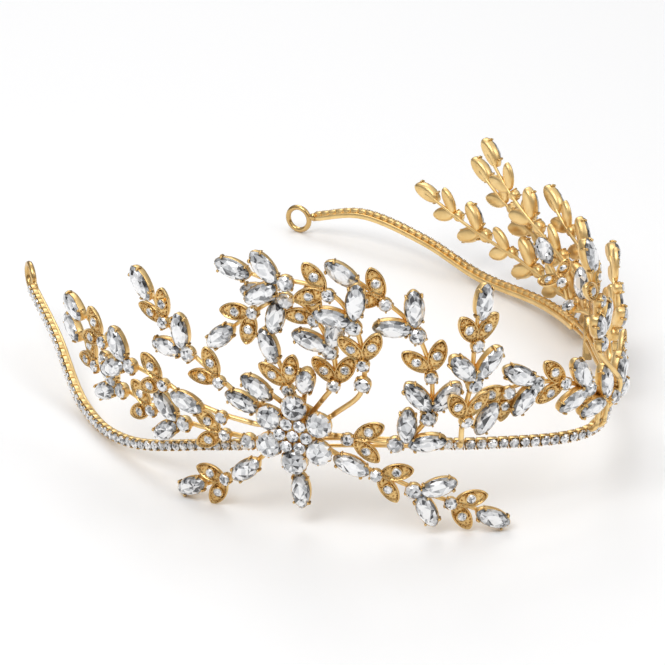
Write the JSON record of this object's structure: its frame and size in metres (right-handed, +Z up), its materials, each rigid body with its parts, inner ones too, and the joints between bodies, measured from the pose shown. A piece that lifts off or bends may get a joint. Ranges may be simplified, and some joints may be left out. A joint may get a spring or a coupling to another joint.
{
  "type": "bridal tiara",
  "caption": "Open gold band of crystal cup chain with flowers and tall sprays of leaves and marquise crystals, for a bride's hair.",
  "frame": {"origin": "middle of the outline, on the surface that the tiara stands on", "axes": "+Z up as it stands, -Y towards the front, +Y towards the open back, +X to the right of someone facing the way +Y points"},
  "size_m": [0.1506, 0.1772, 0.0682],
  "materials": {
    "gold": "polished warm yellow gold plating, satin on the backs",
    "crystal": "clear faceted crystal with a silver foil back"
  },
  "bodies": {
    "root": {"rail_left": "gold", "rail_front": "gold", "rail_right": "gold", "chain_left": "gold", "chain_front": "gold", "chain_right": "gold", "eyelet_left": "gold", "eyelet_right": "gold", "flower_left": "gold", "cluster_left": "crystal", "flower_stone_left_1": "crystal", "flower_stone_left_2": "crystal", "flower_stone_left_3": "crystal", "flower_stone_left_4": "crystal", "flower_stone_left_5": "crystal", "flower_stone_left_6": "crystal", "flower_right": "gold", "cluster_right": "crystal", "flower_stone_right_1": "crystal", "flower_stone_right_2": "crystal", "flower_stone_right_3": "crystal", "flower_stone_right_4": "crystal", "flower_stone_right_5": "crystal", "flower_stone_right_6": "crystal", "spray_temple_upper_left": "gold", "stone_temple_upper_left": "crystal", "spray_temple_lower_left": "gold", "stone_temple_lower_left": "crystal", "spray_crest_left": "gold", "stone_crest_left": "crystal", "spray_bud_left": "gold", "spray_pin_outer_left": "gold", "spray_pin_inner_left": "gold", "spray_scroll_left": "gold", "stone_scroll_left": "crystal", "spray_arch_left": "gold", "stone_arch_left": "crystal", "spray_hook_left": "gold", "stone_hook_left": "crystal", "spray_droop_inner_left": "gold", "stone_droop_inner_left": "crystal", "spray_droop_outer_left": "gold", "stone_droop_outer_left": "crystal", "spray_drop_left": "gold", "spray_column_left": "gold", "stone_column_left": "crystal", "spray_branch_left": "gold", "spray_column_front": "gold", "spray_temple_lower_right": "gold", "stone_temple_lower_right": "crystal", "spray_temple_middle_right": "gold", "spray_temple_upper_right": "gold", "stone_temple_upper_right": "crystal", "spray_crest_right": "gold", "stone_crest_right": "crystal", "spray_wing_right": "gold", "spray_pin_outer_right": "gold", "spray_hook_right": "gold", "spray_droop_outer_right": "gold", "spray_branch_right": "gold"}
  },
  "joints": []
}
